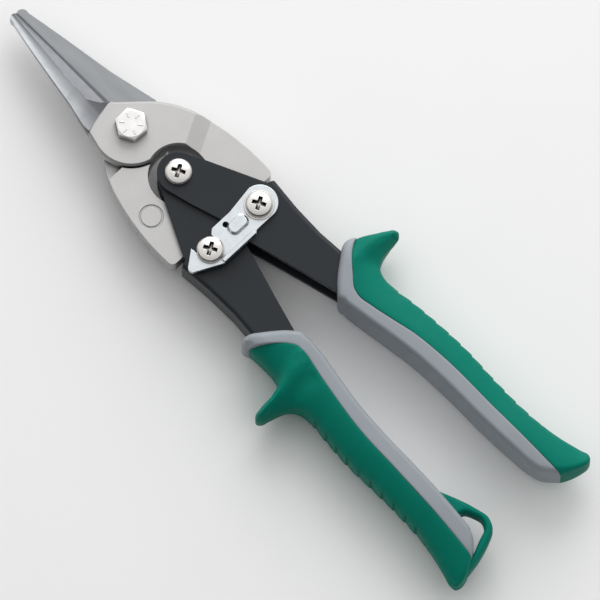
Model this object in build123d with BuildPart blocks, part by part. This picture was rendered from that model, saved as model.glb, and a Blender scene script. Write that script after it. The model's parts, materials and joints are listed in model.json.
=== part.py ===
from build123d import *
import math
import os

# Aviation snips, 10 inch pattern: two forged blades, two stamped handles, a compound linkage and a latch.
#
# Frame: the origin is the centre of the pivot nut's outer face, on the axis of the main pivot.
# +X runs to the grips, +Y to the upper handle, +Z to the side with the bolt head and the latch.
# Heights in the code are measured from the shear plane, where the two blades slide on each other.
# The rear blade and the lower handle are the front blade and the upper handle turned over about X.

os.makedirs("parts", exist_ok=True)

# ---------------------------------------------------------------- driving dimensions, mm
SHEAR_Z = 12.0            # shear plane above the rest plane
RUN_GAP = 0.05            # running clearance of pins and of faces that slide
LAYER_GAP = 0.15          # space between neighbouring flanges

HANDLE_PIVOT_X = 23.4     # where the two handles cross
TANG_PIVOT_X = 51.2       # where each handle is pinned to a blade's tang
TANG_PIVOT_Y = 11.5

BOSS_T = 5.5              # one blade at its boss
BOSS_R = 13.8
TANG_START_X = 8.0
TANG_HALF_T = 4.0
EYE_R = 6.4
TIP_X = -58.0
TIP_LAP = 0.45            # how far each cutting edge passes the other at the tip
JAW_HEEL = (-11.1, 1.3)   # inner end of the cutting edge
NOTCH_R = 10.5            # relief in the blades round the handles' rounded ends
OPEN_PLAY = 0.30          # radial play at the one linkage pivot that is left open

SHEET_T = 1.8             # handle sheet
HANDLE_END_R = 7.4
INNER_FLANGE = TANG_HALF_T + LAYER_GAP                  # inner face of the flange next to the tang
OUTER_FLANGE = INNER_FLANGE + SHEET_T + LAYER_GAP       # inner face of the flange outside it
WEB_START_X = 48.0
HANDLE_TAIL_X = 165.0

BOLT_D = 6.0
BOLT_AF = 10.0
BOLT_HEAD_H = 4.1
WASHER_T = 1.15
SCREW_D = 5.0
SCREW_HEAD_D = 9.2
SCREW_HEAD_H = 2.4
CROSS_TURN = 30           # how far the screws' cross recesses are turned from X
NUT_AF = 8.0
NUT_H = 3.75

LATCH_T = 1.8
LATCH_Z = OUTER_FLANGE + SHEET_T + 0.1
LATCH_RATIO = 5.0         # degrees of latch for each degree of jaw
NECK_R = 2.9
LIP_H = 1.3

GRIP_HALF_T = 12.0
CORE_HALF_T = 11.4

MAIN_PIVOT = (0, 0)
HANDLE_PIVOT = (HANDLE_PIVOT_X, 0)
UPPER_TANG = (TANG_PIVOT_X, TANG_PIVOT_Y)
LOWER_TANG = (TANG_PIVOT_X, -TANG_PIVOT_Y)


def level(height):
    """The plane parallel to the shear plane, at a height above it."""
    return Plane.XY.offset(SHEAR_Z + height)


def upright(angle):
    """The plane square to the shear plane through the main pivot, turned from X; its y axis is up."""
    x_dir = (math.cos(math.radians(angle)), math.sin(math.radians(angle)), 0)
    z_dir = (math.sin(math.radians(angle)), -math.cos(math.radians(angle)), 0)
    return Plane(origin=(0, 0, SHEAR_Z), x_dir=x_dir, z_dir=z_dir)


def polar(centre, radius, angle):
    """The point at a distance from a centre, at an angle from X in degrees."""
    turn = math.radians(angle)
    return (centre[0] + radius * math.cos(turn), centre[1] + radius * math.sin(turn))


def save(piece, name):
    """Labels a finished piece and writes it as its own STEP file."""
    piece.part.label = name
    export_step(piece.part, f"parts/{name}.step")


# ---------------------------------------------------------------- blades
def blade_outline():
    """Plan of the front blade: cutting part on the -Y side, boss, and tang on the +Y side."""
    notch_x = (HANDLE_PIVOT_X**2 + BOSS_R**2 - NOTCH_R**2) / (2 * HANDLE_PIVOT_X)
    notch_start = (notch_x, -math.sqrt(BOSS_R**2 - notch_x**2))
    notch_end = polar(HANDLE_PIVOT, NOTCH_R, 43)
    eye_start = polar(UPPER_TANG, EYE_R, 235)
    eye_end = polar(UPPER_TANG, EYE_R, 150)
    with BuildSketch() as plan:
        with BuildLine():
            jaw = Line(JAW_HEEL, (TIP_X + 1.2, TIP_LAP))
            nose = ThreePointArc(jaw @ 1, (TIP_X + 0.1, -1.4), (TIP_X + 3.0, -3.5))
            spine = Polyline(nose @ 1, (-40, -6.2), (-20, -9.5), (-4.03, -13.2))
            boss = ThreePointArc(spine @ 1, (7.92, -11.3), notch_start)
            notch = ThreePointArc(boss @ 1, (HANDLE_PIVOT_X - NOTCH_R, 0), notch_end)
            reach = Line(notch @ 1, eye_start)
            eye = ThreePointArc(reach @ 1, (TANG_PIVOT_X + EYE_R, TANG_PIVOT_Y), eye_end)
            stop = Polyline(eye @ 1, (45.3, 17.0), (45.3, 21.6))
            corner = ThreePointArc(stop @ 1, (44.8, 23.1), (43.2, 23.8))
            back = ThreePointArc(corner @ 1, (27, 23.1), (14.5, 20.5))
            shoulder = ThreePointArc(back @ 1, (3.9, 15.9), (-3.5, 9.6))
            Line(shoulder @ 1, jaw @ 0)
        make_face()
    return plan.sketch


def tang_outline():
    """Plan of the part of the tang that also fills the rear blade's layer, clear of its boss."""
    with BuildSketch() as plan:
        add(blade_outline())
        Circle(BOSS_R + 0.6, mode=Mode.SUBTRACT)
        with Locations((TANG_START_X, 0)):
            Rectangle(120, 100, align=(Align.MAX, Align.CENTER), mode=Mode.SUBTRACT)
    return plan.sketch


GRIND_ANGLE = 32.0        # ground face of the cutting edge
EDGE_LAND = 0.8           # height of the land at the cutting edge
ground_face = Plane(
    origin=(*JAW_HEEL, SHEAR_Z + EDGE_LAND),
    x_dir=(JAW_HEEL[0] - TIP_X, JAW_HEEL[1] - TIP_LAP, 0),
    z_dir=(0, math.sin(math.radians(GRIND_ANGLE)), math.cos(math.radians(GRIND_ANGLE))),
)

# the stone that grinds the cutting edge, up to where it runs out against the boss
with BuildPart() as grind:
    with BuildSketch(level(0)):
        with BuildLine():
            Polyline((-64, 8), (-64, -14), (-20.5, -9.5), (-19.5, -4.8), (-13.7, -1.6), (-10.9, 1.5),
                     (-10.9, 8), close=True)
        make_face()
    extrude(amount=BOSS_T + 2)
    split(bisect_by=ground_face, keep=Keep.TOP)

# the hollow that thins the cutting part from the boss to the tip
with BuildPart() as hollow:
    with BuildSketch(upright(14)):
        with BuildLine():
            rise = ThreePointArc((-11.2, BOSS_T + 0.01), (-17, 4.35), (-24.5, 4.0))
            Polyline(rise @ 1, (TIP_X - 6, 1.7), (TIP_X - 6, 9), (-11.2, 9), rise @ 0)
        make_face()
    extrude(amount=40, both=True)

# the step down from the boss to the face of the tang
with BuildPart() as step:
    with BuildSketch(upright(28)):
        with BuildLine():
            Polyline((19.4, BOSS_T + 0.01), (25.2, TANG_HALF_T), (70, TANG_HALF_T), (70, 9), (19.4, 9),
                     close=True)
        make_face()
    extrude(amount=70, both=True)

with BuildPart() as front_blade:
    with BuildSketch(level(RUN_GAP / 2)):
        add(blade_outline())
    extrude(amount=BOSS_T - RUN_GAP / 2)
    face_edges = front_blade.faces().sort_by(Axis.Z)[-1].edges()
    chamfer(face_edges.filter_by(lambda edge: edge.center().Y > 3 or edge.center().X > 0), 0.7)
    add(hollow.part, mode=Mode.SUBTRACT)
    add(grind.part, mode=Mode.SUBTRACT)
    add(step.part, mode=Mode.SUBTRACT)
    with BuildSketch(level(-TANG_HALF_T)):
        add(tang_outline())
    extrude(amount=TANG_HALF_T + 1)
    with BuildSketch(level(-TANG_HALF_T)):
        with Locations(MAIN_PIVOT):
            Circle(BOLT_D / 2 + RUN_GAP)
        with Locations(UPPER_TANG):
            Circle(SCREW_D / 2 + RUN_GAP)
    extrude(amount=2 * BOSS_T, mode=Mode.SUBTRACT)
save(front_blade, "front_blade")

# the same forging turned over, with more play in its tang hole and a plain ring stamped on the tang
with BuildPart() as rear_blade:
    with Locations((0, 0, 2 * SHEAR_Z)):
        add(front_blade.part, rotation=(180, 0, 0))
    with BuildSketch(level(-TANG_HALF_T)):
        with Locations(LOWER_TANG):
            Circle(SCREW_D / 2 + OPEN_PLAY)
    extrude(amount=2 * TANG_HALF_T, mode=Mode.SUBTRACT)
    with BuildSketch(level(TANG_HALF_T)):
        with Locations((27.5, -16.8)):
            Circle(4.3)
            Circle(3.5, mode=Mode.SUBTRACT)
    extrude(amount=-0.35, mode=Mode.SUBTRACT)
save(rear_blade, "rear_blade")


# ---------------------------------------------------------------- main pivot
def hexagon_head(base, thickness, across_flats, bevel_up, turn=28):
    """A hexagon on the main pivot, from one height up, with the corners of one face turned off."""
    wide = across_flats / 2 / math.cos(math.radians(30)) + 1
    rim, bevel = across_flats / 2 - 0.3, 0.8
    plain, turned = SHEAR_Z + base, SHEAR_Z + base + thickness
    if not bevel_up:
        plain, turned = turned, plain
        bevel = -bevel
    with BuildPart() as head:
        with BuildSketch(level(base)):
            RegularPolygon(across_flats / 2, 6, major_radius=False, rotation=turn)
        extrude(amount=thickness)
        with BuildSketch(Plane.XZ):
            with BuildLine():
                Polyline((0, plain), (wide, plain), (wide, turned - bevel), (rim, turned), (0, turned),
                         close=True)
            make_face()
        revolve(axis=Axis.Z, mode=Mode.INTERSECT)
    return head.part


NUT_TOP = -BOSS_T - RUN_GAP - WASHER_T

with BuildPart() as pivot_bolt:
    add(hexagon_head(BOSS_T, BOLT_HEAD_H, BOLT_AF, bevel_up=True))
    with BuildSketch(level(BOSS_T)):
        Circle(BOLT_D / 2)
    extrude(amount=-(BOSS_T + SHEAR_Z - 0.6))
    with BuildSketch(level(BOSS_T + BOLT_HEAD_H)):
        with PolarLocations(3.2, 6, start_angle=37):
            Rectangle(1.8, 0.5)
    extrude(amount=0.3)
    chamfer(pivot_bolt.faces().sort_by(Axis.Z)[0].edges(), 0.5)
save(pivot_bolt, "pivot_bolt")

with BuildPart() as pivot_washer:
    with BuildSketch(level(NUT_TOP)):
        Circle(6.6)
        Circle(BOLT_D / 2 + RUN_GAP, mode=Mode.SUBTRACT)
    extrude(amount=WASHER_T)
    chamfer(pivot_washer.faces().sort_by(Axis.Z)[0].outer_wire().edges(), 0.25)
save(pivot_washer, "pivot_washer")

with BuildPart() as pivot_nut:
    add(hexagon_head(-SHEAR_Z, SHEAR_Z + NUT_TOP, BOLT_AF, bevel_up=False))
    with BuildSketch(level(-SHEAR_Z)):
        Circle(BOLT_D / 2)
    extrude(amount=SHEAR_Z, mode=Mode.SUBTRACT)
save(pivot_nut, "pivot_nut")


# ---------------------------------------------------------------- handles
WEB_OUTSIDE = [(WEB_START_X, 21.9), (60, 20.8), (72, 20.5), (84, 21.3), (110, 23.0), (130, 24.3),
               (HANDLE_TAIL_X, 24.3)]
INSIDE_EDGE = [(HANDLE_TAIL_X, 16.2), (130, 15.2), (110, 12.6), (92, 10.0), (80, 6.8), (58.5, 0.7),
               (46, -0.9), (34, -4.8)]


def flange_outline():
    """Plan of one flange of the upper handle, from its rounded pivot end to the tail inside the grip."""
    top = polar(HANDLE_PIVOT, HANDLE_END_R, 115.6)
    low = polar(HANDLE_PIVOT, HANDLE_END_R, -75.7)
    with BuildSketch() as plan:
        with BuildLine():
            edge = Line(top, (47, 19.4))
            outside = Polyline(edge @ 1, *WEB_OUTSIDE)
            inside = Polyline(outside @ 1, *INSIDE_EDGE, low)
            ThreePointArc(inside @ 1, (HANDLE_PIVOT_X - HANDLE_END_R, 0), edge @ 0)
        make_face()
    return plan.sketch


def web_outline():
    """Plan of the folded edge that joins the two flanges."""
    inner = [(x, y - SHEET_T) for x, y in reversed(WEB_OUTSIDE)]
    with BuildSketch() as plan:
        with BuildLine():
            Polyline(*WEB_OUTSIDE, *inner, close=True)
        make_face()
    return plan.sketch


CHANNEL_LOW = -INNER_FLANGE - SHEET_T
CHANNEL_HIGH = OUTER_FLANGE + SHEET_T

with BuildPart() as upper_handle:
    for height in (CHANNEL_LOW, OUTER_FLANGE):
        with BuildSketch(level(height)):
            add(flange_outline())
        extrude(amount=SHEET_T)
    with BuildSketch(level(CHANNEL_LOW)):
        add(web_outline())
    extrude(amount=CHANNEL_HIGH - CHANNEL_LOW)
    folds = upper_handle.edges().filter_by(Plane.XY).group_by(Axis.Z)
    for layer in (folds[0], folds[-1]):
        fillet(layer.filter_by(lambda edge: edge.center().Y > 20.2 and edge.center().X > 50), 1.6)
    with BuildSketch(level(CHANNEL_LOW)):
        with Locations(HANDLE_PIVOT, UPPER_TANG):
            Circle(SCREW_D / 2 + RUN_GAP)
    extrude(amount=CHANNEL_HIGH - CHANNEL_LOW, mode=Mode.SUBTRACT)
save(upper_handle, "upper_handle")

with BuildPart() as lower_handle:
    with Locations((0, 0, 2 * SHEAR_Z)):
        add(upper_handle.part, rotation=(180, 0, 0))
save(lower_handle, "lower_handle")


# ---------------------------------------------------------------- linkage screws
def cross_screw(centre, head_base, tail):
    """A domed screw with a cross recess: its head stands on head_base and its shank reaches down to tail."""
    x, y = centre
    head_r, dome = SCREW_HEAD_D / 2, 0.7
    foot, seat, top = SHEAR_Z + tail, SHEAR_Z + head_base, SHEAR_Z + head_base + SCREW_HEAD_H
    with BuildPart() as screw:
        with BuildSketch(Plane(origin=(x, y, 0), x_dir=(1, 0, 0), z_dir=(0, -1, 0))):
            with BuildLine():
                side = Polyline((0, foot), (SCREW_D / 2, foot), (SCREW_D / 2, seat), (head_r, seat),
                                (head_r, top - dome - 0.4), (head_r - 0.5, top - dome + 0.1))
                crown = ThreePointArc(side @ 1, (head_r / 2, top - 0.15), (0, top))
                Line(crown @ 1, side @ 0)
            make_face()
        revolve(axis=Axis((x, y, 0), (0, 0, 1)))
        with BuildSketch(Plane.XY.offset(top + 0.2)):
            with Locations((x, y)):
                Rectangle(5.2, 1.6, rotation=CROSS_TURN)
                Rectangle(5.2, 1.6, rotation=CROSS_TURN + 90)
        extrude(amount=-2.1, taper=14, mode=Mode.SUBTRACT)
    return screw


def ring(centre, base, thickness, outside, inside):
    """A flat ring round a pivot, from one height up."""
    with BuildPart() as part:
        with BuildSketch(level(base)):
            with Locations(centre):
                Circle(outside)
                Circle(inside, mode=Mode.SUBTRACT)
        extrude(amount=thickness)
    return part


def locknut(centre, top):
    """A small hexagon locknut under a flange, with a rounded collar on its far side."""
    with BuildPart() as nut:
        with BuildSketch(level(top)):
            with Locations(centre):
                RegularPolygon(NUT_AF / 2, 6, major_radius=False)
        extrude(amount=-NUT_H * 0.72)
        with BuildSketch(level(top)):
            with Locations(centre):
                Circle(NUT_AF / 2 - 0.5)
        extrude(amount=-NUT_H)
        chamfer(nut.faces().sort_by(Axis.Z)[0].edges(), 0.6)
        with BuildSketch(level(top)):
            with Locations(centre):
                Circle(SCREW_D / 2)
        extrude(amount=-NUT_H, mode=Mode.SUBTRACT)
    return nut


LATCH_TOP = LATCH_Z + LATCH_T
SPRING_WASHER_T = 0.5
UPPER_HEAD = LATCH_TOP + RUN_GAP + SPRING_WASHER_T
LOWER_HEAD = LATCH_TOP + 0.15

save(cross_screw(HANDLE_PIVOT, CHANNEL_HIGH, -CHANNEL_HIGH - RUN_GAP - NUT_H + 0.4), "handle_pivot_screw")
save(locknut(HANDLE_PIVOT, -CHANNEL_HIGH - RUN_GAP), "handle_pivot_nut")
save(ring(HANDLE_PIVOT, -TANG_HALF_T, 2 * TANG_HALF_T, 3.6, SCREW_D / 2 + RUN_GAP), "handle_pivot_sleeve")

save(cross_screw(UPPER_TANG, UPPER_HEAD, CHANNEL_LOW - NUT_H + 0.4), "upper_tang_screw")
save(locknut(UPPER_TANG, CHANNEL_LOW), "upper_tang_nut")
save(ring(UPPER_TANG, TANG_HALF_T + 0.1, OUTER_FLANGE - TANG_HALF_T - 0.1, 5.4, SCREW_D / 2 + RUN_GAP),
     "upper_tang_washer")
save(ring(UPPER_TANG, LATCH_TOP + RUN_GAP, SPRING_WASHER_T, 5.2, SCREW_D / 2 + RUN_GAP),
     "latch_spring_washer")

save(cross_screw(LOWER_TANG, LOWER_HEAD, -CHANNEL_HIGH - NUT_H + 0.4), "lower_tang_screw")
save(locknut(LOWER_TANG, -CHANNEL_HIGH), "lower_tang_nut")
save(ring(LOWER_TANG, -OUTER_FLANGE, OUTER_FLANGE - TANG_HALF_T - 0.1, 5.4, SCREW_D / 2 + RUN_GAP),
     "lower_tang_washer")

# the collar that the latch hooks over: a broad foot on the flange and a narrow neck under the screw head
with BuildPart() as latch_catch:
    with BuildSketch(level(-CHANNEL_LOW)):
        with Locations(LOWER_TANG):
            Circle(4.4)
    extrude(amount=LATCH_Z + CHANNEL_LOW - 0.15)
    with BuildSketch(level(-CHANNEL_LOW)):
        with Locations(LOWER_TANG):
            Circle(NECK_R)
    extrude(amount=LOWER_HEAD + CHANNEL_LOW)
    with BuildSketch(level(-CHANNEL_LOW)):
        with Locations(LOWER_TANG):
            Circle(SCREW_D / 2 + 0.02)
    extrude(amount=LOWER_HEAD + CHANNEL_LOW, mode=Mode.SUBTRACT)
save(latch_catch, "latch_catch")


# ---------------------------------------------------------------- latch
def neck_in_latch(jaw_angle):
    """Where the catch's neck stands in the latch's own frame once the jaws have opened by an angle."""
    reach = math.hypot(TANG_PIVOT_X, TANG_PIVOT_Y)
    half = math.atan2(TANG_PIVOT_Y, TANG_PIVOT_X) + math.radians(jaw_angle) / 2
    span = 2 * reach * math.sin(half)
    swing = math.radians((0.966 + LATCH_RATIO) * jaw_angle)
    return (TANG_PIVOT_X - span * math.sin(swing), TANG_PIVOT_Y - span * math.cos(swing))


with BuildPart() as latch:
    with BuildSketch(level(LATCH_Z)):
        with BuildLine():
            crown = ThreePointArc((44.4, 13.2), (50.7, 18.7), (56.9, 13.2))
            right = Polyline(crown @ 1, (56.9, 5), (57.8, 3.8), (57.8, -11.2), (53.0, -20.8))
            tip = ThreePointArc(right @ 1, (51.6, -21.7), (50.2, -21.0))
            Polyline(tip @ 1, (46.3, -15.9), (46.3, -15.2), (50, -15), (50, -7.4), (47.4, -7.4), (46, -5.8),
                     (46, 2.5), crown @ 0)
        make_face()
        with Locations(UPPER_TANG):
            Circle(SCREW_D / 2 + RUN_GAP, mode=Mode.SUBTRACT)
        with Locations((48.3, -1.5)):
            Circle(1.1, mode=Mode.SUBTRACT)
        with BuildLine(mode=Mode.PRIVATE) as path:
            ThreePointArc(neck_in_latch(0), neck_in_latch(1.7), neck_in_latch(3.4))
        SlotArc(path.edges()[0], 2 * (NECK_R + 0.2), mode=Mode.SUBTRACT)
    extrude(amount=LATCH_T)
    with BuildSketch(level(LATCH_TOP)):
        with Locations((51.1, 1.6)):
            RectangleRounded(5.2, 8.0, 2.2)
    extrude(amount=1.3, taper=28)
    with BuildSketch(level(LATCH_Z)):
        with Locations((57.2, -3.6)):
            Rectangle(1.2, 14.6)
    extrude(amount=LATCH_T + LIP_H)
save(latch, "latch")

# ---------------------------------------------------------------- return spring
WIRE_R = 0.8
COIL_R = 4.7
COIL_TURNS = 3.5
COIL_PITCH = 1.8
COIL_HALF_H = COIL_TURNS * COIL_PITCH / 2
LEG = [(HANDLE_PIVOT_X - 0.3, COIL_R), (50, 3.7), (58.5, 4.6), (74, 17.4)]      # ends inside the web


def spring_leg(side, height):
    """Straight lengths of wire from the coil out along one handle, joined by round elbows."""
    with BuildPart() as leg:
        corners = [Vector(x, side * y, SHEAR_Z + height) for x, y in LEG]
        for start, end in zip(corners, corners[1:]):
            with BuildSketch(Plane(origin=start, z_dir=end - start)):
                Circle(WIRE_R)
            extrude(amount=(end - start).length)
        for corner in corners[1:-1]:
            with Locations(corner):
                Sphere(WIRE_R)
    return leg.part


# the coil stands on the sleeve; one leg opens each handle
with BuildPart() as return_spring:
    coil_foot = (HANDLE_PIVOT_X, 0, SHEAR_Z - COIL_HALF_H)
    with BuildLine(Plane(origin=coil_foot, x_dir=(0, 1, 0), z_dir=(0, 0, 1))):
        coil = Helix(pitch=COIL_PITCH, height=2 * COIL_HALF_H, radius=COIL_R)
    with BuildSketch(Plane(origin=coil @ 0, z_dir=coil % 0)):
        Circle(WIRE_R)
    sweep(path=coil, is_frenet=True)
    add(spring_leg(1, -COIL_HALF_H))
    add(spring_leg(-1, COIL_HALF_H))
save(return_spring, "return_spring")


# ---------------------------------------------------------------- grips
CORE_INSIDE = [(95.5, 8.3), (104, 9.0), (115, 10.7), (126, 12.3), (138, 13.1), (160, 13.3), (182, 14.3)]
SEAM = [(82.0, 27.2), (87, 21.8), (91.4, 17.9), (96.0, 14.6), (104, 15.1), (112, 16.9), (121, 19.1),
        (131, 20.1), (160, 20.4), (190.0, 20.8)]


def channel_space():
    """The space that the handle's channel takes inside the grip."""
    with BuildPart() as space:
        with BuildSketch(level(CHANNEL_LOW - RUN_GAP)):
            add(flange_outline())
            offset(amount=RUN_GAP, kind=Kind.INTERSECTION)
        extrude(amount=CHANNEL_HIGH - CHANNEL_LOW + 2 * RUN_GAP)
    return space.part


def core_body(end_points):
    """The hard inner half of the upper grip: a nose across the handle, then a bar along its open side."""
    with BuildPart() as core:
        with BuildSketch(level(-CORE_HALF_T)):
            with BuildLine():
                nose = Polyline(SEAM[0], (80.2, 27.2), (79.6, 25.8), (80.3, 22.4), (91.8, 9.6))
                ThreePointArc(nose @ 1, (93.4, 8.5), CORE_INSIDE[0])
                inside = Spline(*CORE_INSIDE)
                Polyline(inside @ 1, *end_points, *reversed(SEAM))
            make_face()
        extrude(amount=2 * CORE_HALF_T)
        for layer in (core.faces().sort_by(Axis.Z)[0], core.faces().sort_by(Axis.Z)[-1]):
            inner = layer.edges().filter_by(lambda edge: edge.center().Y < 14 and edge.length > 50)
            chamfer(inner, 4.5, 3.2, reference=layer)
        add(channel_space(), mode=Mode.SUBTRACT)
    return core


def cover_body(seam_start, outline):
    """The soft outer half of a grip, from the seam out to its palm side."""
    with BuildPart() as cover:
        with BuildSketch(level(-GRIP_HALF_T)):
            with BuildLine():
                Polyline(seam_start, *SEAM[1:], *outline, close=True)
            make_face()
        extrude(amount=2 * GRIP_HALF_T)
        add(channel_space(), mode=Mode.SUBTRACT)
    return cover


UPPER_END = [(186.2, 16.2)]
UPPER_OUTLINE = [(192.8, 28.5), (193.3, 31.2), (191.6, 32.9), (189.0, 32.7), (181, 30.0), (173, 28.2),
                 (164, 27.4), (150, 27.6), (137, 28.0), (124, 27.5), (112, 26.5), (97.5, 25.4), (94, 27.2),
                 (92.3, 30.5), (90.9, 38.6), (89.4, 41.0), (87.4, 39.8), (80.8, 29.0)]
LOWER_END = [(186.0, 17.0)]
LOWER_SEAM_START = (84.5, 24.5)      # on the seam's first length
LOWER_OUTLINE = [(192.5, 25.8), (193.8, 28.6), (193.4, 30.8), (191, 31.6), (181, 28.6), (173, 27.2),
                 (164, 26.9), (150, 27.0), (137, 27.4), (124, 26.8), (112.5, 26.2), (109.2, 28.4),
                 (107.3, 32.6), (105.9, 38.9), (104.1, 40.8), (102.5, 38.9), (102.1, 29.6), (100.2, 26.2),
                 (97, 24.6)]
LOOP_OUTSIDE = [(192.4, 25.6), (191.9, 20.0), (189.2, 12.5), (186.8, 8.2), (183.2, 6.6), (177.5, 7.9),
                (163, 13.0)]
LOOP_INSIDE = [(175.2, 13.4), (175.6, 11.2), (179.0, 9.9), (183.0, 9.0), (185.9, 10.9), (187.2, 14.5),
               (190.4, 21.4)]
LOOP_HALF_T = 4.5

upper_grip_core = core_body(UPPER_END)
save(upper_grip_core, "upper_grip_core")
upper_grip_cover = cover_body(SEAM[0], UPPER_OUTLINE)
save(upper_grip_cover, "upper_grip_cover")

with BuildPart() as lower_grip_core:
    with Locations((0, 0, 2 * SHEAR_Z)):
        add(core_body(LOWER_END).part, rotation=(180, 0, 0))
save(lower_grip_core, "lower_grip_core")

# the hang loop springs from the cover's end and comes down on the open side of the core
with BuildPart() as hang_loop:
    with BuildSketch(level(-LOOP_HALF_T)):
        with BuildLine():
            outside = Polyline(*LOOP_OUTSIDE)
            inside = Polyline(outside @ 1, *LOOP_INSIDE)
            Polyline(inside @ 1, (190.5, 26), outside @ 0)
        make_face()
    extrude(amount=2 * LOOP_HALF_T)

with BuildPart() as lower_grip_cover:
    with Locations((0, 0, 2 * SHEAR_Z)):
        add(cover_body(LOWER_SEAM_START, LOWER_OUTLINE).part, rotation=(180, 0, 0))
        add(hang_loop.part, rotation=(180, 0, 0))
save(lower_grip_cover, "lower_grip_cover")
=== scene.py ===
import json
import math

import bpy
import numpy as np
from mathutils import Matrix, Vector
from mathutils.geometry import delaunay_2d_cdt


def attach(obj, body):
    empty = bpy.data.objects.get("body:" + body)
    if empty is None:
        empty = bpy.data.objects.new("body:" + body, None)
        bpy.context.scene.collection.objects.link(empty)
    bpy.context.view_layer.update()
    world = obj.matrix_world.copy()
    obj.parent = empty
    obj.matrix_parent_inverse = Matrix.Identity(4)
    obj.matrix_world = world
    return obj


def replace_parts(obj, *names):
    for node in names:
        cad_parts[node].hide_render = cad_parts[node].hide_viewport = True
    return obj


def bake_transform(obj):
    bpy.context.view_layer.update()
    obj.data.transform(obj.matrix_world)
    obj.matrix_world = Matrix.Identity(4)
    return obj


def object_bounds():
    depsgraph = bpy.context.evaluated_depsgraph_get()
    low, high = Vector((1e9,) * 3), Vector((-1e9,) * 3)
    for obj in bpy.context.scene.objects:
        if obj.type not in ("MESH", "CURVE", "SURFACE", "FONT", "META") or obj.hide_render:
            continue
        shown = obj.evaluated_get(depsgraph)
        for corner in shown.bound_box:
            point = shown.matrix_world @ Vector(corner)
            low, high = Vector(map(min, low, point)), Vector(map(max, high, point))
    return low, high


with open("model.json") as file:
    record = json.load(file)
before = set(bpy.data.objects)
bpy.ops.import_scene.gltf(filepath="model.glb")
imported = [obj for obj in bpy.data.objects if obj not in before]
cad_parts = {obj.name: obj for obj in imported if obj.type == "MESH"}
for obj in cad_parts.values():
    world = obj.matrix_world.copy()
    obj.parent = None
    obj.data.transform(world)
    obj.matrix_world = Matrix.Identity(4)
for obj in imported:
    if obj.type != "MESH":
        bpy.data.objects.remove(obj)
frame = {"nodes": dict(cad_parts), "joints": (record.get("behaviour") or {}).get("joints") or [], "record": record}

cad_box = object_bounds()
MM = 0.001
nodes = frame["nodes"]
joints = {joint["name"]: joint for joint in frame["joints"]}

HANDLE_PIVOT = Vector(joints["handle_pivot"]["pos_m"])
SHEAR_Z = joints["jaw_pivot"]["pos_m"][2]      # the plane where the two blades slide on each other

# ---------------------------------------------------------------- material kit
BEVEL_SAMPLES = 6
SHADE_SAMPLES = 8


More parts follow.
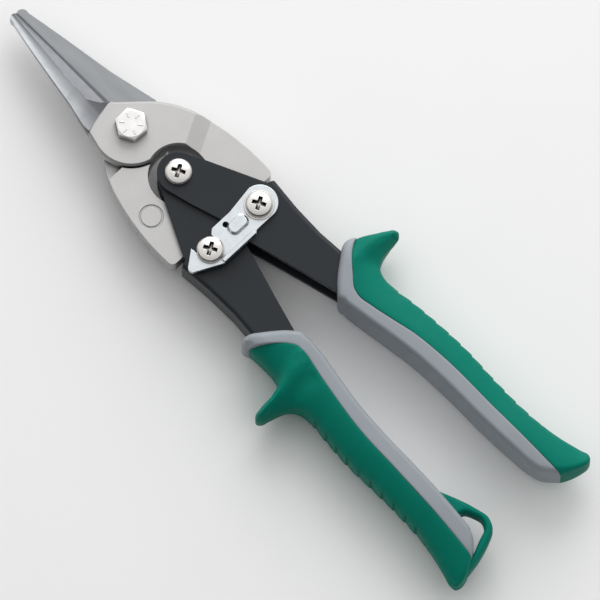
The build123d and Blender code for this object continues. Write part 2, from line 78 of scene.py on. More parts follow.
class Nodes:
    """A short way to write a material's node tree. Places are in millimetres in the row frame."""

    def __init__(self, name):
        self.material = bpy.data.materials.new(name)
        self.material.use_nodes = True
        self.tree = self.material.node_tree
        self.shader = self.tree.nodes["Principled BSDF"]
        coords = self.tree.nodes.new("ShaderNodeTexCoord").outputs["Object"]
        self.place = self.vector("SCALE", coords, scale=1 / MM)

    def set(self, **values):
        """Sets the shader's own sockets, by their names with underscores for spaces."""
        for name, value in values.items():
            self.join(value, self.shader.inputs[name.replace("_", " ")])

    def join(self, value, socket):
        """Links a socket, or sets a plain value."""
        if isinstance(value, bpy.types.NodeSocket):
            self.tree.links.new(value, socket)
        elif value is not None:
            socket.default_value = value

    def vector(self, operation, first, second=None, scale=None):
        """A vector operation; a dot product gives a number and the rest give a vector."""
        node = self.tree.nodes.new("ShaderNodeVectorMath")
        node.operation = operation
        self.join(first, node.inputs[0])
        self.join(second, node.inputs[1])
        if operation == "SCALE":
            self.join(scale, node.inputs["Scale"])
        return node.outputs["Value" if operation == "DOT_PRODUCT" else "Vector"]

    def math(self, operation, first, second=None, third=None):
        """An operation on one to three numbers."""
        node = self.tree.nodes.new("ShaderNodeMath")
        node.operation = operation
        for value, socket in zip((first, second, third), node.inputs):
            self.join(value, socket)
        return node.outputs[0]

    def along(self, axis):
        """One coordinate of the place, in millimetres."""
        node = self.tree.nodes.new("ShaderNodeSeparateXYZ")
        self.join(self.place, node.inputs[0])
        return node.outputs[axis]

    def noise(self, size, detail=3.0, stretch=(1, 1, 1)):
        """Noise with features about size millimetres across, drawn out along an axis by stretch."""
        node = self.tree.nodes.new("ShaderNodeTexNoise")
        scaled = self.vector("DIVIDE", self.place, tuple(size * s for s in stretch))
        self.join(scaled, node.inputs["Vector"])
        node.inputs["Scale"].default_value = 1.0
        node.inputs["Detail"].default_value = detail
        node.inputs["Roughness"].default_value = 0.55
        return node.outputs["Fac"]

    def cells(self, size):
        """Distance to the nearest of many scattered points, for a leathery or blasted grain."""
        node = self.tree.nodes.new("ShaderNodeTexVoronoi")
        scaled = self.vector("SCALE", self.place, scale=1 / size)
        self.join(scaled, node.inputs["Vector"])
        node.inputs["Scale"].default_value = 1.0
        return node.outputs["Distance"]

    def step(self, value, low, high, to_low=0.0, to_high=1.0):
        """A smooth change from to_low to to_high as a value goes from low to high."""
        node = self.tree.nodes.new("ShaderNodeMapRange")
        node.interpolation_type = "SMOOTHSTEP"
        for number, socket in zip((value, low, high, to_low, to_high), node.inputs):
            self.join(number, socket)
        return node.outputs["Result"]

    def spread(self, noise, low, high):
        """A value from low to high over the middle of a noise's range."""
        return self.step(noise, 0.3, 0.7, low, high)

    def mix(self, factor, first, second):
        """Blends two colours."""
        node = self.tree.nodes.new("ShaderNodeMix")
        node.data_type = "RGBA"
        self.join(factor, node.inputs["Factor"])
        self.join(rgba(first), node.inputs["A"])
        self.join(rgba(second), node.inputs["B"])
        return node.outputs["Result"]

    def rounded(self, radius):
        """The surface's normal as if its sharp edges were rounded to a radius in millimetres."""
        node = self.tree.nodes.new("ShaderNodeBevel")
        node.samples = BEVEL_SAMPLES
        node.inputs["Radius"].default_value = radius * MM
        return node.outputs["Normal"]

    def edge_mask(self, radius, low=0.02, high=0.25):
        """1 along sharp edges, 0 on flat and gently curved stretches."""
        normal = self.tree.nodes.new("ShaderNodeNewGeometry").outputs["Normal"]
        turn = self.math("SUBTRACT", 1.0, self.vector("DOT_PRODUCT", self.rounded(radius), normal))
        return self.step(turn, low, high)

    def open_air(self, reach):
        """1 in the open and towards 0 inside recesses and corners, judged within reach millimetres."""
        node = self.tree.nodes.new("ShaderNodeAmbientOcclusion")
        node.samples = SHADE_SAMPLES
        node.inputs["Distance"].default_value = reach * MM
        return node.outputs["AO"]

    def bump(self, height, depth, normal=None):
        """Raises the surface by height (0 to 1) times a depth in millimetres."""
        node = self.tree.nodes.new("ShaderNodeBump")
        node.inputs["Distance"].default_value = depth * MM
        self.join(height, node.inputs["Height"])
        self.join(normal, node.inputs["Normal"])
        return node.outputs["Normal"]


def rgba(colour):
    """A colour with its alpha, or a socket unchanged."""
    return colour if isinstance(colour, bpy.types.NodeSocket) else (*colour, 1.0)


# ---------------------------------------------------------------- materials
GROUND_START = -11.2      # where the ground part of the blades begins, in millimetres from the main pivot
GROUND_LEAN = 14          # how far that line leans, in degrees
SHEAR_START = (-2.5, -1.5)       # X between which the shear face's polish fades out
BLADE_WIDTH = (0.21, 15.2)       # the cutting part's width: its slope along X, its value at the pivot
STRIP_WIDTH = (0.33, 0.42)       # where the strip beside the cutting edge ends, as a share of that width
DISH_DEPTH = 3.0          # how deeply the ground face is dished across its width


def blade_steel():
    """Bead-blasted forging at the boss and tang; ground and brushed along the cutting part."""
    forged_tones = (0.47, 0.465, 0.46), (0.53, 0.525, 0.52)
    brushed_tones = (0.25, 0.26, 0.27), (0.33, 0.34, 0.355)
    strip_tone, edge_highlight_tone, painted_shade_tone = (0.15, 0.155, 0.165), (0.62, 0.62, 0.63), (0.10, 0.10, 0.10)
    n = Nodes("blade_steel")
    lean = math.radians(GROUND_LEAN)
    from_boss = n.math("SUBTRACT", n.math("MULTIPLY", n.along("X"), math.cos(lean)),
                       n.math("MULTIPLY", n.math("ABSOLUTE", n.along("Y")), math.sin(lean)))
    hollow = n.step(from_boss, GROUND_START - 0.3, GROUND_START + 0.1, 1.0, 0.0)
    from_shear = n.math("ABSOLUTE", n.math("SUBTRACT", n.along("Z"), SHEAR_Z / MM))
    shear_face = n.math("MULTIPLY", n.step(from_shear, 0.10, 0.15, 1.0, 0.0),
                        n.step(n.along("X"), *SHEAR_START, 1.0, 0.0))
    ground = n.math("MAXIMUM", hollow, shear_face)
    forged = n.math("SUBTRACT", 1.0, ground)
    across = n.math("DIVIDE", n.math("ABSOLUTE", n.along("Y")),
                    n.math("MULTIPLY_ADD", n.along("X"), *BLADE_WIDTH))
    off_middle = n.math("POWER", n.math("SUBTRACT", across, 0.5), 2.0)
    dish = n.math("MULTIPLY", off_middle, n.math("MULTIPLY", hollow, n.step(from_shear, 0.5, 1.0)))
    grain = n.noise(0.18, detail=2.0, stretch=(14, 1, 1))
    lines = n.noise(2.6, detail=4.0, stretch=(6, 1, 1))
    blast = n.noise(0.35, detail=2.0)
    patches = n.noise(9.0, detail=2.0)
    run_out = n.step(from_boss, GROUND_START - 10, GROUND_START - 4, 1.0, 0.35)
    past_strip = n.math("MULTIPLY", n.step(across, *STRIP_WIDTH), run_out)
    brushed = n.mix(n.math("MAXIMUM", past_strip, shear_face), strip_tone, n.mix(lines, *brushed_tones))
    # painted highlight: sharp edges are painted lighter
    colour = n.mix(n.edge_mask(0.25), n.mix(ground, n.mix(patches, *forged_tones), brushed), edge_highlight_tone)
    rough = n.math("ADD", n.math("MULTIPLY", n.spread(grain, 0.32, 0.44), ground),
                   n.math("MULTIPLY", n.spread(blast, 0.44, 0.54), forged))
    texture = n.math("ADD", n.math("MULTIPLY", blast, forged), n.math("MULTIPLY", grain, ground))
    dished = n.bump(dish, DISH_DEPTH, n.rounded(0.2))
    # painted shade: recesses, corners and gaps between parts are painted darker, judged by ambient occlusion
    n.set(Base_Color=n.mix(n.step(n.open_air(2.5), 0.35, 0.8), painted_shade_tone, colour), Metallic=0.92,
          Roughness=rough, Normal=n.bump(texture, 0.02, dished))
    return n.material


def plated(name, light, dark, rough, edge=0.3):
    """Bright plating with faint cloudiness and fine scratches, a painted highlight along its sharp edges and
    painted shade in its recesses.
    """
    painted_shade_tone = (0.05, 0.045, 0.04)
    edge_highlight_tone = tuple(min(1.0, c * 1.15) for c in light)
    n = Nodes(name)
    cloud = n.noise(2.5, detail=4.0)
    scratches = n.step(n.noise(0.16, detail=2.0, stretch=(12, 1, 4)), 0.52, 0.72)
    # painted highlight: sharp edges are painted lighter
    unshaded_colour = n.mix(n.edge_mask(edge), n.mix(cloud, dark, light), edge_highlight_tone)
    roughness = n.math("ADD", n.spread(cloud, rough - 0.05, rough + 0.07),
                       n.math("MULTIPLY", scratches, 0.08))
    # painted shade: recesses and corners, such as the screws' cross recesses, are painted darker, judged by
    # ambient occlusion
    n.set(Base_Color=n.mix(n.step(n.open_air(1.6), 0.30, 0.75), painted_shade_tone, unshaded_colour), Metallic=1.0,
          Roughness=roughness, Normal=n.bump(n.noise(0.3, detail=2.0), 0.008, n.rounded(edge)))
    return n.material


def black_enamel():
    """Satin black enamel on stamped sheet, with an even orange peel and a little wear on its edges."""
    enamel_tones, bare_tone = ((0.007, 0.010, 0.014), (0.011, 0.016, 0.021)), (0.22, 0.22, 0.22)
    n = Nodes("black_enamel")
    peel = n.noise(0.9, detail=2.0)
    dust = n.noise(0.12, detail=1.0)
    patches = n.noise(12.0)
    worn = n.math("MULTIPLY", n.edge_mask(0.22, 0.05, 0.3), n.step(n.noise(1.6, detail=4.0), 0.5, 0.62))
    colour = n.mix(n.math("MULTIPLY", worn, 0.5), n.mix(patches, *enamel_tones), bare_tone)
    n.set(Base_Color=colour, Metallic=0.0, Roughness=n.step(dust, 0.25, 0.75, 0.34, 0.46),
          Specular_IOR_Level=0.34, Normal=n.bump(peel, 0.02, n.rounded(0.45)))
    return n.material


def spring_steel():
    """Dark oiled wire with drawing marks along it."""
    wire_tones = (0.16, 0.16, 0.17), (0.32, 0.32, 0.33)
    n = Nodes("spring_steel")
    marks = n.noise(0.25, detail=2.0, stretch=(8, 1, 1))
    n.set(Base_Color=n.mix(marks, *wire_tones), Metallic=1.0, Roughness=n.spread(marks, 0.25, 0.42),
          Normal=n.bump(marks, 0.01))
    return n.material


def grip_plastic():
    """Hard grey moulded plastic with a fine spark-eroded grain and a painted highlight along its sharp edges."""
    grey_tones, edge_highlight_tone = ((0.275, 0.305, 0.335), (0.310, 0.342, 0.372)), (0.42, 0.44, 0.46)
    n = Nodes("grip_grey")
    grain = n.cells(0.32)
    patches = n.noise(14.0)
    handled = n.noise(3.0, detail=5.0)
    # painted highlight: sharp edges are painted a little lighter
    colour = n.mix(n.math("MULTIPLY", n.edge_mask(0.5), 0.35), n.mix(patches, *grey_tones), edge_highlight_tone)
    n.set(Base_Color=colour, Roughness=n.spread(handled, 0.42, 0.56), Specular_IOR_Level=0.45,
          Normal=n.bump(grain, 0.02, n.rounded(0.3)))
    return n.material


def grip_rubber():
    """Soft green overmoulding, matt, with a leathery grain that hands have polished a little."""
    green_tones = (0.000, 0.165, 0.116), (0.000, 0.195, 0.138)
    n = Nodes("grip_green")
    grain = n.cells(0.55)
    fine = n.noise(0.2, detail=2.0)
    patches = n.noise(16.0)
    handled = n.noise(6.0, detail=4.0)
    texture = n.math("ADD", grain, n.math("MULTIPLY", fine, 0.4))
    n.set(Base_Color=n.mix(patches, *green_tones), Roughness=n.spread(handled, 0.46, 0.62),
          Specular_IOR_Level=0.08, Normal=n.bump(texture, 0.03))
    return n.material


MATERIALS = {
    "blade_steel": blade_steel(),
    "bright_plated_steel": plated("bright_plated_steel", (0.90, 0.89, 0.88), (0.80, 0.79, 0.78), 0.22,
                                  edge=0.12),
    "black_enamel": black_enamel(),
    "nickel_screw": plated("nickel_screw", (0.82, 0.80, 0.77), (0.68, 0.66, 0.635), 0.20, edge=0.2),
    "zinc_latch": plated("zinc_latch", (0.70, 0.735, 0.76), (0.61, 0.645, 0.67), 0.28),
    "spring_steel": spring_steel(),
    "grip_grey": grip_plastic(),
    "grip_green": grip_rubber(),
}


def dress_frame():
    """Gives every CAD node the material of its slot."""
    slots = {part["node"]: part["material_slot"] for part in frame["record"]["subparts"]}
    for name, obj in nodes.items():
        obj.data.materials.clear()
        obj.data.materials.append(MATERIALS[slots[name]])


dress_frame()

# ---------------------------------------------------------------- shapes in plan, millimetres
# Mesh points near a plan's edge lie in rows at these distances from it.
ROWS = (0.12, 0.35, 0.7, 1.2, 1.8, 2.4, 2.7, 3.5, 4.5, 5.6)
GRID = 1.0                # spacing of the mesh points further in
ROW_RATIO = 0.87          # the grid's rows are this much closer than its points, so that triangles are even
SOFT_REACH = 1.7          # creases are softened over about this distance
SHARP_ANGLE = 35          # edges that turn by more degrees than this stay sharp
STRAND_STEP = 0.7         # spacing of the samples along a curve


def strand(points, step=STRAND_STEP):
    """A smooth curve through points, sampled about every step."""
    p = np.array(points, float)
    length = np.linalg.norm(np.diff(p, axis=0), axis=1)
    slope = np.diff(p, axis=0) / length[:, None]
    before, after = length[:-1, None], length[1:, None]
    tangent = np.vstack([slope[:1], (slope[:-1] * after + slope[1:] * before) / (before + after), slope[-1:]])
    spans = []
    for i, span in enumerate(length):
        t = np.linspace(0, 1, max(2, round(span / step)), endpoint=False)[:, None]
        spans.append((1 + 2 * t) * (1 - t) ** 2 * p[i] + t * (1 - t) ** 2 * span * tangent[i]
                     + t**2 * (3 - 2 * t) * p[i + 1] + t**2 * (t - 1) * span * tangent[i + 1])
    return np.vstack(spans + [p[-1:]])


def ring(*curves):
    """One closed outline from curves that each start where the last one ends."""
    return np.vstack([curve[:-1] for curve in curves])


def leftward(along):
    """Unit vectors to the left of directions in plan."""
    return np.stack([-along[:, 1], along[:, 0]], 1) / np.linalg.norm(along, axis=1)[:, None]


def nearest(points, line):
    """For each point, its distance to a sampled line and how far along the line the nearest place is."""
    best = np.full(len(points), np.inf)
    place = np.zeros(len(points))
    start = 0.0
    for a, b in zip(line, line[1:]):
        reach = b - a
        length = np.linalg.norm(reach)
        t = np.clip((points - a) @ reach / max(length**2, 1e-12), 0, 1)
        away = np.linalg.norm(points - a - t[:, None] * reach, axis=1)
        place = np.where(away < best, start + t * length, place)
        best = np.minimum(best, away)
        start += length
    return best, place


def away_from(points, line):
    """For each point, its distance to a sampled line."""
    return nearest(points, line)[0]


def inside(points, outline):
    """Whether each point lies inside a closed outline."""
    result = np.zeros(len(points), bool)
    for (ax, ay), (bx, by) in zip(outline, np.roll(outline, -1, 0)):
        crosses = (ay > points[:, 1]) != (by > points[:, 1])
        with np.errstate(divide="ignore", invalid="ignore"):
            at = ax + (points[:, 1] - ay) * (bx - ax) / (by - ay)
        result ^= crosses & (points[:, 0] < at)
    return result


def rounding(distance, radius, power=2.0):
    """1 at an edge and 0 a radius away from it, along a rounded corner."""
    t = 1 - np.clip(distance / radius, 0, 1)
    return 1 - (1 - t**power) ** (1 / power)


def hump(distance, width):
    """A smooth hump, 1 at distance 0 and nearly 0 a width away."""
    return np.exp(-3 * (distance / width) ** 2)


def ramp(value, start, length):
    """0 up to a start, 1 a length further on, and straight between."""
    return np.clip((value - start) / length, 0, 1)


def evened(half, points, from_edge):
    """Half thickness at points; away from the edge, the mean over a small ring, which softens creases."""
    turns = np.arange(8) * math.pi / 4
    offsets = SOFT_REACH * np.column_stack([np.cos(turns), np.sin(turns)])
    own = half(points)
    mean = sum(half(points + offset) for offset in offsets) / len(offsets)
    return own + ramp(from_edge, SOFT_REACH, SOFT_REACH) * (mean - own)


def plan_mesh(outline):
    """Points and triangles over a counter-clockwise outline: rows along its edge and a grid further in."""
    closed = np.vstack([outline, outline[:1]])
    inward = leftward(np.roll(outline, -1, 0) - np.roll(outline, 1, 0))
    plan = [outline]
    for row in ROWS:
        line = outline + inward * row
        plan.append(line[inside(line, outline) & (away_from(line, closed) > 0.94 * row)])
    low, high = outline.min(0), outline.max(0)
    x, y = np.meshgrid(np.arange(low[0], high[0], GRID), np.arange(low[1], high[1], GRID * ROW_RATIO))
    x[1::2] += GRID / 2
    grid = np.stack([x.ravel(), y.ravel()], 1)
    grid = grid[inside(grid, outline)]
    plan.append(grid[away_from(grid, closed) > ROWS[-1] + GRID / 2])
    points = [Vector(p) for p in np.vstack(plan)]
    found = delaunay_2d_cdt(points, [], [list(range(len(outline)))], 1, 1e-5)
    plan = np.array([v[:] for v in found[0]])
    return plan, [tuple(face) for face in found[2]], away_from(plan, closed)


def slab(name, outline, half, mirrored=False):
    """A closed piece with a counter-clockwise plan; half(points) is its half thickness at each point."""
    plan, triangles, from_edge = plan_mesh(outline)
    height = evened(half, plan, from_edge)
    side = -1 if mirrored else 1
    top = np.column_stack([plan[:, 0], plan[:, 1] * side, height])
    verts = np.vstack([top, top * (1, 1, -1)]) * MM + (0, 0, SHEAR_Z)
    count = len(plan)
    faces = triangles + [tuple(i + count for i in reversed(face)) for face in triangles]
    edges = {edge: None for face in triangles for edge in zip(face, face[1:] + face[:1])}
    faces += [(j, i, i + count, j + count) for i, j in edges if (j, i) not in edges]
    if mirrored:
        faces = [tuple(reversed(face)) for face in faces]
    return add_mesh(name, verts, faces)


def add_mesh(name, verts, faces):
    """A smooth-shaded mesh object whose sharp edges stay sharp."""
    mesh = bpy.data.meshes.new(name)
    mesh.from_pydata([tuple(v) for v in verts], [], faces)
    mesh.validate()
    mesh.shade_smooth()
    mesh.set_sharp_from_angle(angle=math.radians(SHARP_ANGLE))
    piece = bpy.data.objects.new(name, mesh)
    bpy.context.scene.collection.objects.link(piece)
    return piece


def finish_piece(piece, slot):
    """Gives a piece its finish."""
    piece.data.materials.append(MATERIALS[slot])
    return piece


# ---------------------------------------------------------------- grips
# Each grip is drawn with its palm side towards +Y; the lower one is then mirrored.
CORE_HALF = 11.1
COVER_HALF = 11.3
COVER_LIMITS = (1.2, 11.95)      # least and greatest half thickness of a cover
INNER_ROUND = 1.6                # width of the rounding along a core's inner edge
PALM_ROUND = 11.5                # width of the rounding on a cover's palm side
TOOTH = 5.6                      # spacing of the small teeth along the palm side
TOOTH_FADE = 6                   # distance over which the teeth die out at each end
TOOTH_DEPTH = 0.7
PALM_STEP = 0.4

UPPER = {
    "nose": [(81.7, 28.4), (80.5, 26.6), (80.2, 24.6), (80.9, 22.4), (83.0, 19.6), (91.2, 10.2), (93.4, 8.6),
             (95.5, 8.6)],
    "inner": [(95.5, 8.6), (104, 9.8), (115, 11.6), (126, 13.1), (138, 13.8), (160, 14.0), (180, 15.0)],
    "seam": [(81.7, 28.4), (83.2, 25.6), (85.2, 22.9), (88.0, 20.2), (91.6, 17.2), (94.6, 14.8), (97.4, 13.9),
             (104, 14.7), (112, 16.4), (121, 18.4), (131, 19.5), (160, 19.9), (190.0, 20.6)],
    "core_end": [(180, 15.0), (184.6, 16.2), (187.6, 18.4), (190.0, 20.6)],
    "cover_end": [(190.0, 20.6), (191.8, 24.2), (193.0, 28.2), (193.3, 30.6), (192.6, 32.2), (190.8, 32.9),
                  (188.6, 32.6)],
    "palm": [(188.6, 32.6), (181, 30.2), (173, 28.6), (164, 27.9), (150, 27.9), (137, 28.4), (124, 27.9),
             (112, 26.8), (103, 25.6), (97.5, 25.7), (94.4, 27.3), (92.6, 30.4), (91.8, 34), (91.3, 37.6),
             (90.7, 39.8), (89.4, 40.8), (87.9, 40.3), (86.6, 38.2), (84.6, 34.2), (82.7, 30.6),
             (81.7, 28.4)],
    "teeth": (14, 92),
}
LOWER = {
    "nose": [(84.8, 25.4), (83.2, 26.3), (81.6, 25.9), (81.0, 24.3), (81.6, 22.0), (83.6, 19.3), (91.2, 10.4),
             (93.4, 8.7), (95.5, 8.3)],
    "inner": [(95.5, 8.3), (104, 9.0), (115, 10.7), (126, 12.3), (138, 13.0), (160, 13.4), (182, 14.6)],
    "seam": [(84.8, 25.4), (86.6, 22.9), (90.2, 18.4), (93.4, 15.3), (96.2, 13.6), (99.0, 13.4), (104, 14.1),
             (110, 15.3), (118.2, 16.7), (131, 18.5), (152, 19.3), (172, 20.1), (190.2, 21.4)],
    "core_end": [(182, 14.6), (185.4, 16.2), (188.0, 18.5), (190.2, 21.4)],
    "cover_end": [(190.2, 21.4), (191.6, 24.0), (193.2, 27.4), (193.6, 29.9), (192.9, 31.9), (190.8, 32.5)],
    "palm": [(190.8, 32.5), (181, 29.8), (173, 28.3), (164, 27.7), (150, 27.7), (137, 28.1), (124, 27.4),
             (115.5, 26.8), (111.6, 27.5), (109.2, 29.5), (107.7, 32.6), (106.4, 36.6), (105.6, 39.4),
             (104.1, 40.6), (102.7, 39.5), (102.2, 36.4), (101.9, 30.8), (101.0, 27.8), (99.3, 26.0),
             (96, 25.3), (90, 25.2), (84.8, 25.4)],
    "teeth": (14, 80),
}


def tooth(place, span):
    """The small saw teeth of the palm side, from 0 to 1, by the distance along it."""
    fade = ramp(place, span[0], TOOTH_FADE) * np.clip((span[1] - place) / TOOTH_FADE, 0, 1)
    return fade * (place / TOOTH % 1.0) ** 1.5


def tail_thinning(points):
    """How much thinner a grip is made towards its end."""
    return 3.6 * ramp(points[:, 0], 165, 28) ** 1.6


def tip_thinning(points):
    """How much thinner a guard is made towards its tip."""
    return 3.6 * ramp(points[:, 1], 29, 12) ** 1.5


def core_half(shape):
    """Half thickness of a grip's hard core: flat by the seam, with rounded inner edge, nose and end."""
    inner, seam, end, nose = (strand(shape[k]) for k in ("inner", "seam", "core_end", "nose"))

    def half(points):
        from_end = away_from(points, end)
        from_inner = np.minimum(away_from(points, inner), from_end)
        palm_side = ramp(points[:, 1], 19, 7)
        drop = (2.8 * rounding(from_inner, INNER_ROUND)
                + (2.6 + 2.4 * palm_side) * rounding(away_from(points, nose), 2.4)
                + 1.8 * palm_side**2 + 0.8 * rounding(from_end, 2.5))
        return CORE_HALF - drop - tail_thinning(points) - 0.3 * rounding(away_from(points, seam), 0.5)

    return half


def cover_half(shape, ridge):
    """Half thickness of a grip's soft cover: rounded to the palm side, with a guard's ridge and teeth."""
    palm, end, seam = strand(shape["palm"], PALM_STEP), strand(shape["cover_end"]), strand(shape["seam"])

    def half(points):
        from_palm, place = nearest(points, palm)
        slope = 7.4 * rounding(from_palm, PALM_ROUND, 1.8)
        slope += 0.4 * tooth(place, shape["teeth"]) * hump(from_palm, 7)
        lip = 2.8 * rounding(away_from(points, end), 2.8)
        groove = 0.3 * rounding(away_from(points, seam), 0.6)
        drop = np.hypot(slope, lip) + groove + tail_thinning(points)
        return np.clip(COVER_HALF - drop + ridge(points), *COVER_LIMITS)

    return half


def upper_ridge(points):
    """The thumb guard: a ridge along its leading edge and a hollow behind it."""
    crest = away_from(points, strand([(86.0, 31.5), (87.6, 36), (89, 39.5)]))
    hollow = away_from(points, strand([(91.5, 26), (90.6, 31), (90.4, 37)]))
    return 0.8 * hump(crest, 4.5) - 1.6 * hump(hollow, 5.0) - tip_thinning(points)


def lower_ridge(points):
    """The finger guard: a ridge from the seam down the spike and a hollow behind it."""
    crest = away_from(points, strand([(100.6, 15), (101.6, 22), (103.0, 31), (104, 39)]))
    hollow = away_from(points, strand([(107.5, 19), (107.6, 25), (107.0, 31)]))
    return 2.4 * hump(crest, 3.6) - 1.6 * hump(hollow, 4.5) - tip_thinning(points)


def toothed_palm(shape):
    """A cover's palm side, cut back by its teeth."""
    palm = strand(shape["palm"], PALM_STEP)
    along = palm[1:] - palm[:-1]
    place = np.concatenate([[0], np.cumsum(np.linalg.norm(along, axis=1))])[:-1]
    depth = TOOTH_DEPTH * tooth(place, shape["teeth"])
    return np.vstack([palm[:-1] + leftward(along) * depth[:, None], palm[-1:]])


def grip(side, shape, ridge, mirrored):
    """A core and a cover that ride on one handle."""
    seam = strand(shape["seam"])
    core_plan = ring(strand(shape["nose"]), strand(shape["inner"]), strand(shape["core_end"]), seam[::-1])
    cover_plan = ring(seam, strand(shape["cover_end"]), toothed_palm(shape))
    core = slab(f"{side}_grip_core_visual", core_plan, core_half(shape), mirrored)
    cover = slab(f"{side}_grip_cover_visual", cover_plan, cover_half(shape, ridge), mirrored)
    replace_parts(finish_piece(core, "grip_grey"), f"{side}_grip_core")
    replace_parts(finish_piece(cover, "grip_green"), f"{side}_grip_cover")
    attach(core, f"{side}_handle")
    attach(cover, f"{side}_handle")


grip("upper", UPPER, upper_ridge, False)
grip("lower", LOWER, lower_ridge, True)

# ---------------------------------------------------------------- hanging loop
LOOP_OUTSIDE = [(192.9, 26.4), (191.8, 20), (189.4, 12.5), (187.0, 8.4), (183.6, 6.8), (177.5, 7.9),
                (163, 13.4)]
LOOP_INSIDE = [(163, 17), (175.6, 14.6), (176.4, 11.8), (179.2, 10.2), (182.6, 9.4), (185.2, 10.8),
               (186.8, 14.5), (189.4, 21.2), (189.8, 26)]
LOOP_HALF = 4.3


def loop_half(points):
    """Half thickness of the hanging loop."""
    from_edge = np.minimum(away_from(points, strand(LOOP_OUTSIDE)), away_from(points, strand(LOOP_INSIDE)))
    return LOOP_HALF - 2.6 * rounding(from_edge, 1.3)


def counter_clockwise(outline):
    """A closed outline, turned round if it runs clockwise."""
    ahead = np.roll(outline, -1, 0)
    area = np.sum(outline[:, 0] * ahead[:, 1] - ahead[:, 0] * outline[:, 1])
    return outline if area > 0 else outline[::-1]


def hang_loop():
    """The loop moulded onto the lower grip's end."""
    plan = ring(strand(LOOP_INSIDE), strand([LOOP_INSIDE[-1], LOOP_OUTSIDE[0]]),
                strand(LOOP_OUTSIDE), strand([LOOP_OUTSIDE[-1], LOOP_INSIDE[0]]))
    piece = finish_piece(slab("hang_loop_visual", counter_clockwise(plan), loop_half, True), "grip_green")
    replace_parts(piece, "lower_grip_cover")
    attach(piece, "lower_handle")


hang_loop()

# ---------------------------------------------------------------- return spring
WIRE_R = 0.8
WIRE_SIDES = 14
COIL_R = 4.7
COIL_TURNS = 3.5
COIL_PITCH = 1.8
COIL_POINTS = 180
LEG = [(30, 4.5), (50, 3.7), (58.5, 4.6), (74, 17.4)]      # one leg in plan; the other mirrors it


def tube(name, path, radius, sides):
    """A round wire along sampled points, with closed ends."""
    path = [Vector(p) for p in path]
    across = Vector((0, 0, 1))
    verts, faces = [], []
    for i, point in enumerate(path):
        ahead = (path[min(i + 1, len(path) - 1)] - path[max(i - 1, 0)]).normalized()
        across = (across - ahead * across.dot(ahead)).normalized()
        other = ahead.cross(across)
        for k in range(sides):
            turn = 2 * math.pi * k / sides
            verts.append(point + (across * math.cos(turn) + other * math.sin(turn)) * radius)
    for i in range(len(path) - 1):
        for k in range(sides):
            a, b = i * sides + k, i * sides + (k + 1) % sides
            faces.append((a, b, b + sides, a + sides))
    faces.append(tuple(reversed(range(sides))))
    faces.append(tuple(range(len(verts) - sides, len(verts))))
    return add_mesh(name, verts, faces)


def return_spring():
    """A coil round the handles' pivot with a leg in each handle."""
    half_height = COIL_TURNS * COIL_PITCH / 2
    centre = np.array([HANDLE_PIVOT.x, 0, SHEAR_Z]) / MM
    turns = np.linspace(0, 1, COIL_POINTS)
    angle = math.pi / 2 + turns * COIL_TURNS * 2 * math.pi
    coil = centre + np.column_stack([COIL_R * np.cos(angle), COIL_R * np.sin(angle),
                                     half_height * (2 * turns - 1)])
    leg = strand(LEG, 1.5)
    upper = [(x, y, centre[2] - half_height) for x, y in leg]
    lower = [(x, -y, centre[2] + half_height) for x, y in leg]
    path = np.vstack([upper[::-1], coil, lower]) * MM
    piece = finish_piece(tube("return_spring_visual", path, WIRE_R * MM, WIRE_SIDES), "spring_steel")
    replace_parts(piece, "return_spring")
    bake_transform(piece)


return_spring()

# ---------------------------------------------------------------- studio
VIEW_TILT = math.radians(15)          # the camera's lean from straight above
VIEW_TURN = math.radians(46.25)       # how far the tool's length points below the picture's horizontal
FIELD_WIDTH = 204.8 * MM
CAMERA_DISTANCE = 6.0
AIM = Vector((15.2, 0.25, 0)) * MM    # the target, measured from the middle of the tool's length

FLOOR_REACH = 4.0                     # half the floor's side
BRIGHT_SIDE = (-0.50, 0.55, 0.67)     # where the surround is brightest
SURROUND_STRENGTH = (0.10, 1.20)      # in its dark part, and where it is brightest
KEY_SIZE = 0.9
KEY_POWER = 6.5
KEY_PLACE = Vector((-0.50, 0.75, 0.62))
KEY_TARGET = Vector((0.07, 0, 0))


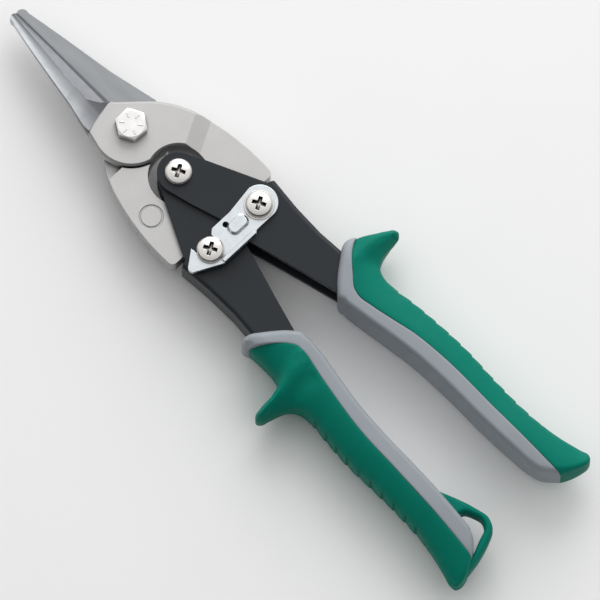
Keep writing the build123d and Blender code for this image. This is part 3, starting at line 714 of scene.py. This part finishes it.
def add_camera():
    """A long lens high over the tool, leaning to its grips and lower handle, blades at the upper left."""
    along, across = math.cos(VIEW_TURN), math.sin(VIEW_TURN)
    right = Vector((along, across, 0))
    back = Vector((across * math.sin(VIEW_TILT), -along * math.sin(VIEW_TILT), math.cos(VIEW_TILT)))
    up = back.cross(right)
    target = Vector(((cad_box[0][0] + cad_box[1][0]) / 2, 0, SHEAR_Z)) + AIM
    data = bpy.data.cameras.new("camera")
    data.lens = data.sensor_width * CAMERA_DISTANCE / FIELD_WIDTH
    camera = bpy.data.objects.new("camera", data)
    bpy.context.scene.collection.objects.link(camera)
    camera.matrix_world = Matrix.Translation(target + back * CAMERA_DISTANCE) @ Matrix(
        (right, up, back)).transposed().to_4x4()
    bpy.context.scene.camera = camera


def add_key_light():
    """One large square soft box, above the blades' and the upper handle's side, facing the tool."""
    data = bpy.data.lights.new("key", "AREA")
    data.shape = "SQUARE"
    data.size = KEY_SIZE
    data.energy = KEY_POWER
    light = bpy.data.objects.new("key", data)
    light.location = KEY_PLACE
    light.rotation_euler = (KEY_TARGET - KEY_PLACE).to_track_quat("-Z", "Y").to_euler()
    bpy.context.scene.collection.objects.link(light)


def add_floor():
    """A wide pale floor, level with the lowest point of the tool."""
    level = cad_box[0][2]
    corners = [(x * FLOOR_REACH, y * FLOOR_REACH, level) for x, y in ((-1, -1), (1, -1), (1, 1), (-1, 1))]
    mesh = bpy.data.meshes.new("floor")
    mesh.from_pydata(corners, [], [(0, 1, 2, 3)])
    floor = bpy.data.objects.new("floor", mesh)
    bpy.context.scene.collection.objects.link(floor)
    n = Nodes("floor")
    n.set(Base_Color=n.mix(n.noise(40.0), (0.90, 0.90, 0.90), (0.92, 0.92, 0.92)), Roughness=0.9)
    mesh.materials.append(n.material)


def add_world():
    """A white surround that is brightest high up on one side."""
    world = bpy.data.worlds.new("studio")
    world.use_nodes = True
    tree = world.node_tree
    towards = tree.nodes.new("ShaderNodeVectorMath")
    towards.operation = "DOT_PRODUCT"
    towards.inputs[1].default_value = Vector(BRIGHT_SIDE).normalized()
    tree.links.new(tree.nodes.new("ShaderNodeTexCoord").outputs["Generated"], towards.inputs[0])
    fade = tree.nodes.new("ShaderNodeMapRange")
    tree.links.new(towards.outputs["Value"], fade.inputs["Value"])
    for socket, value in zip(("From Min", "From Max", "To Min", "To Max"), (-0.2, 1.0, *SURROUND_STRENGTH)):
        fade.inputs[socket].default_value = value
    background = tree.nodes["Background"]
    background.inputs["Color"].default_value = (1, 1, 1, 1)
    tree.links.new(fade.outputs["Result"], background.inputs["Strength"])
    bpy.context.scene.world = world


add_camera()
add_floor()
add_world()
add_key_light()

bpy.context.scene.view_settings.view_transform = "Standard"
